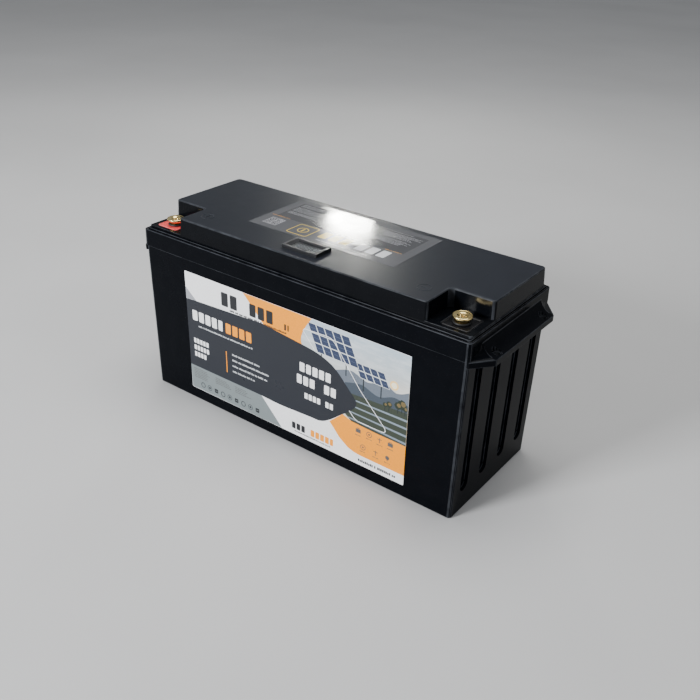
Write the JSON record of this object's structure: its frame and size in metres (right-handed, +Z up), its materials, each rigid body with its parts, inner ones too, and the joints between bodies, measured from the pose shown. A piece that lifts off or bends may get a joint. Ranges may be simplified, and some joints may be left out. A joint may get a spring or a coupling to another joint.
{
  "type": "deep cycle battery",
  "caption": "Sealed lithium deep cycle battery: black moulded case with lifting ledges at its ends, raised lid with two recessed brass terminals, panel meter and printed labels.",
  "frame": {"origin": "on the base, under the centre of the case", "axes": "+X along the case towards the negative terminal, -Y towards the label side and the terminals, +Z up"},
  "size_m": [0.485, 0.17, 0.24],
  "materials": {
    "case_abs": "glossy moulded black, faint scuffs",
    "lid_abs": "satin moulded black top, glossy walls",
    "seal_bead": "cured sealant, semi-gloss",
    "label_front": "printed laminated film in charcoal, orange, white and grey",
    "label_top": "printed laminated film, dark grey",
    "pad_red": "glossy moulded red",
    "pad_black": "glossy moulded black",
    "terminal_brass": "polished, turned",
    "o_ring_rubber": "matt",
    "zinc_steel": "zinc plated",
    "meter_abs": "fine satin moulded black",
    "meter_glass": "clear acrylic",
    "lcd_glass": "dark liquid crystal panel, off",
    "board_green": "solder mask",
    "board_blue": "solder mask",
    "connector_ivory": "moulded nylon",
    "foam_black": "closed-cell foam",
    "cell_wrap": "blue shrink film over an aluminium can",
    "plain_aluminium": "satin",
    "gasket_black": "moulded",
    "epoxy_sheet": "glass-epoxy sheet",
    "strap_steel": "brushed stainless",
    "plated_copper": "nickel-plated copper",
    "bare_copper": "copper",
    "tinned_copper": "tin plated",
    "cable_red": "silicone rubber sleeve",
    "cable_black": "silicone rubber sleeve",
    "wire_white": "thin insulated wire",
    "component_black": "epoxy packages",
    "module_black": "moulded"
  },
  "bodies": {
    "root": {"case": "case_abs", "lid_seal": "seal_bead", "front_label": "label_front", "lid": "lid_abs", "top_label": "label_top", "terminal_pad_positive": "pad_red", "terminal_pad_negative": "pad_black", "terminal_insert_positive": "terminal_brass", "terminal_insert_negative": "terminal_brass", "terminal_o_rings": "o_ring_rubber", "terminal_washers": "zinc_steel", "terminal_nuts": "terminal_brass", "meter_housing": "meter_abs", "meter_window": "meter_glass", "meter_display": "lcd_glass", "meter_board": "board_green", "meter_socket": "connector_ivory", "meter_clips": "meter_abs", "base_pad": "foam_black", "side_pad_front": "foam_black", "side_pad_back": "foam_black", "end_foam_left": "foam_black", "end_foam_right": "foam_black", "cell_1": "cell_wrap", "cell_2": "cell_wrap", "cell_3": "cell_wrap", "cell_4": "cell_wrap", "cell_5": "cell_wrap", "cell_6": "cell_wrap", "cell_7": "cell_wrap", "cell_8": "cell_wrap", "cell_top_plates": "plain_aluminium", "cell_vents": "plain_aluminium", "post_gaskets": "gasket_black", "cell_posts": "plain_aluminium", "separator_sheets": "epoxy_sheet", "end_plate_left": "plain_aluminium", "end_plate_right": "plain_aluminium", "strap_lower": "strap_steel", "strap_upper": "strap_steel", "strap_buckles": "strap_steel", "busbars_front": "plated_copper", "busbars_back": "plated_copper", "stud_washers": "zinc_steel", "busbar_nuts": "zinc_steel", "cable_positive": "cable_red", "cable_bms_negative": "cable_black", "cable_negative": "cable_black", "cable_lugs": "tinned_copper", "meter_lead": "cable_black", "sense_lugs": "tinned_copper", "sense_wires": "wire_white", "harness_plugs": "connector_ivory", "harness_clips": "connector_ivory", "bms_heatsink": "plain_aluminium", "bms_board": "board_blue", "bms_parts": "component_black", "bms_busbars": "bare_copper", "bms_screws": "zinc_steel", "wireless_module": "module_black"}
  },
  "joints": []
}
